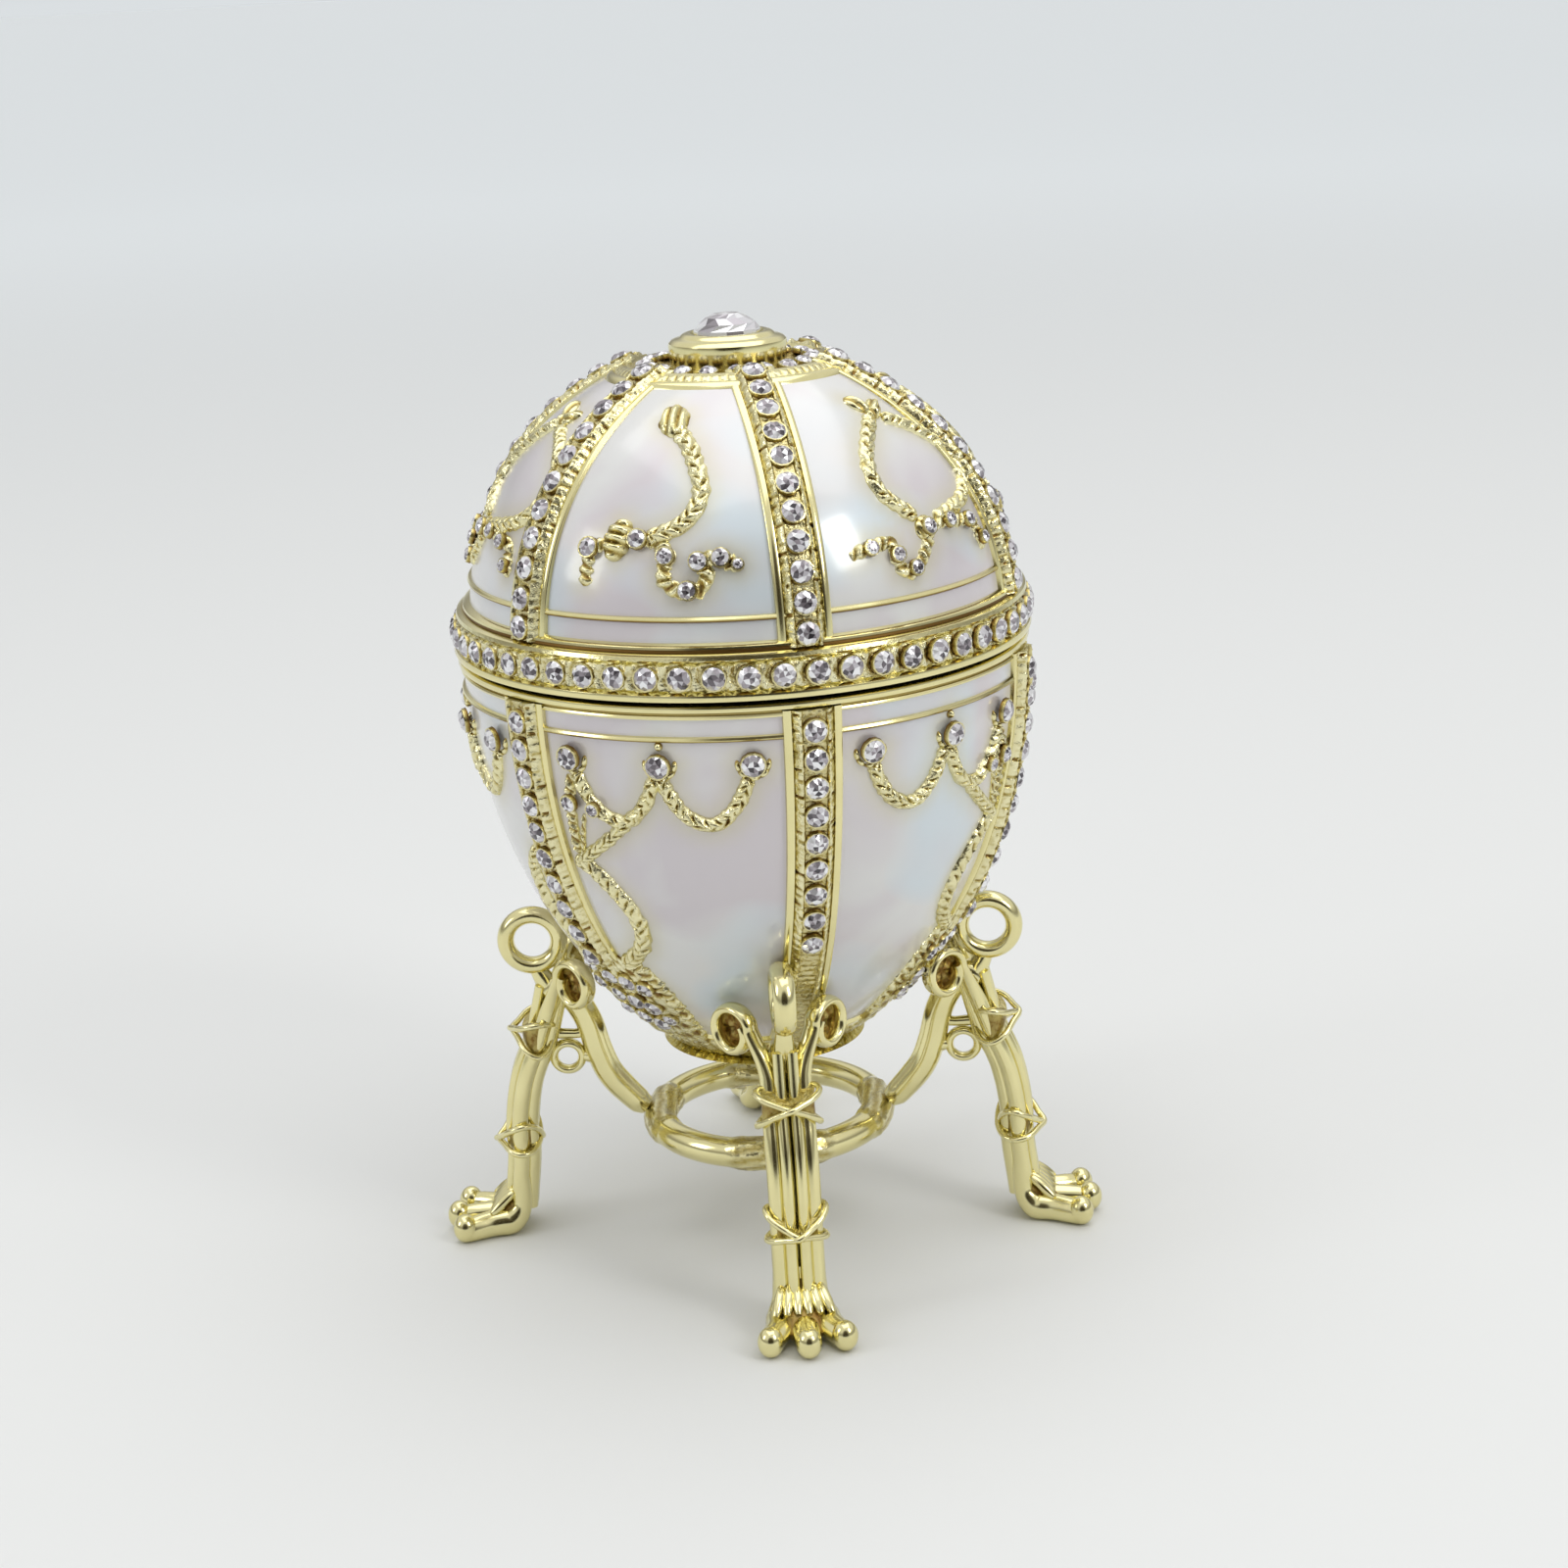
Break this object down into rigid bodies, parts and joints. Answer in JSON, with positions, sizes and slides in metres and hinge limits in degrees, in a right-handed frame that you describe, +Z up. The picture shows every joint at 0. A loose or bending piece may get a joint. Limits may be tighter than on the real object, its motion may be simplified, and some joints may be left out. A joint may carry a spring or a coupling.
{
  "type": "egg-shaped trinket box",
  "caption": "Egg-shaped trinket box in pearl enamel and pale gold with crystal-set ribs and girdle, a lift-off lid, and a stand of scrolled legs joined by a ring.",
  "frame": {"origin": "centre of the box under its axis, on the plane of the soles", "axes": "+Z up through the lid, -Y towards the front leg"},
  "size_m": [0.0689, 0.0689, 0.0931],
  "materials": {
    "pearl_enamel": "glossy pearl enamel over gold-plated cast zinc, with gold ribs and lines",
    "pale_gold": "polished pale gold plate over cast zinc",
    "crystal": "clear cut crystal"
  },
  "bodies": {
    "root": {"egg_bowl": "pearl_enamel", "egg_lid": "pearl_enamel", "top_bezel": "pale_gold", "top_crystal": "crystal", "stand_ring": "pale_gold", "leg_front": "pale_gold", "leg_right": "pale_gold", "leg_back": "pale_gold", "leg_left": "pale_gold"}
  },
  "joints": []
}
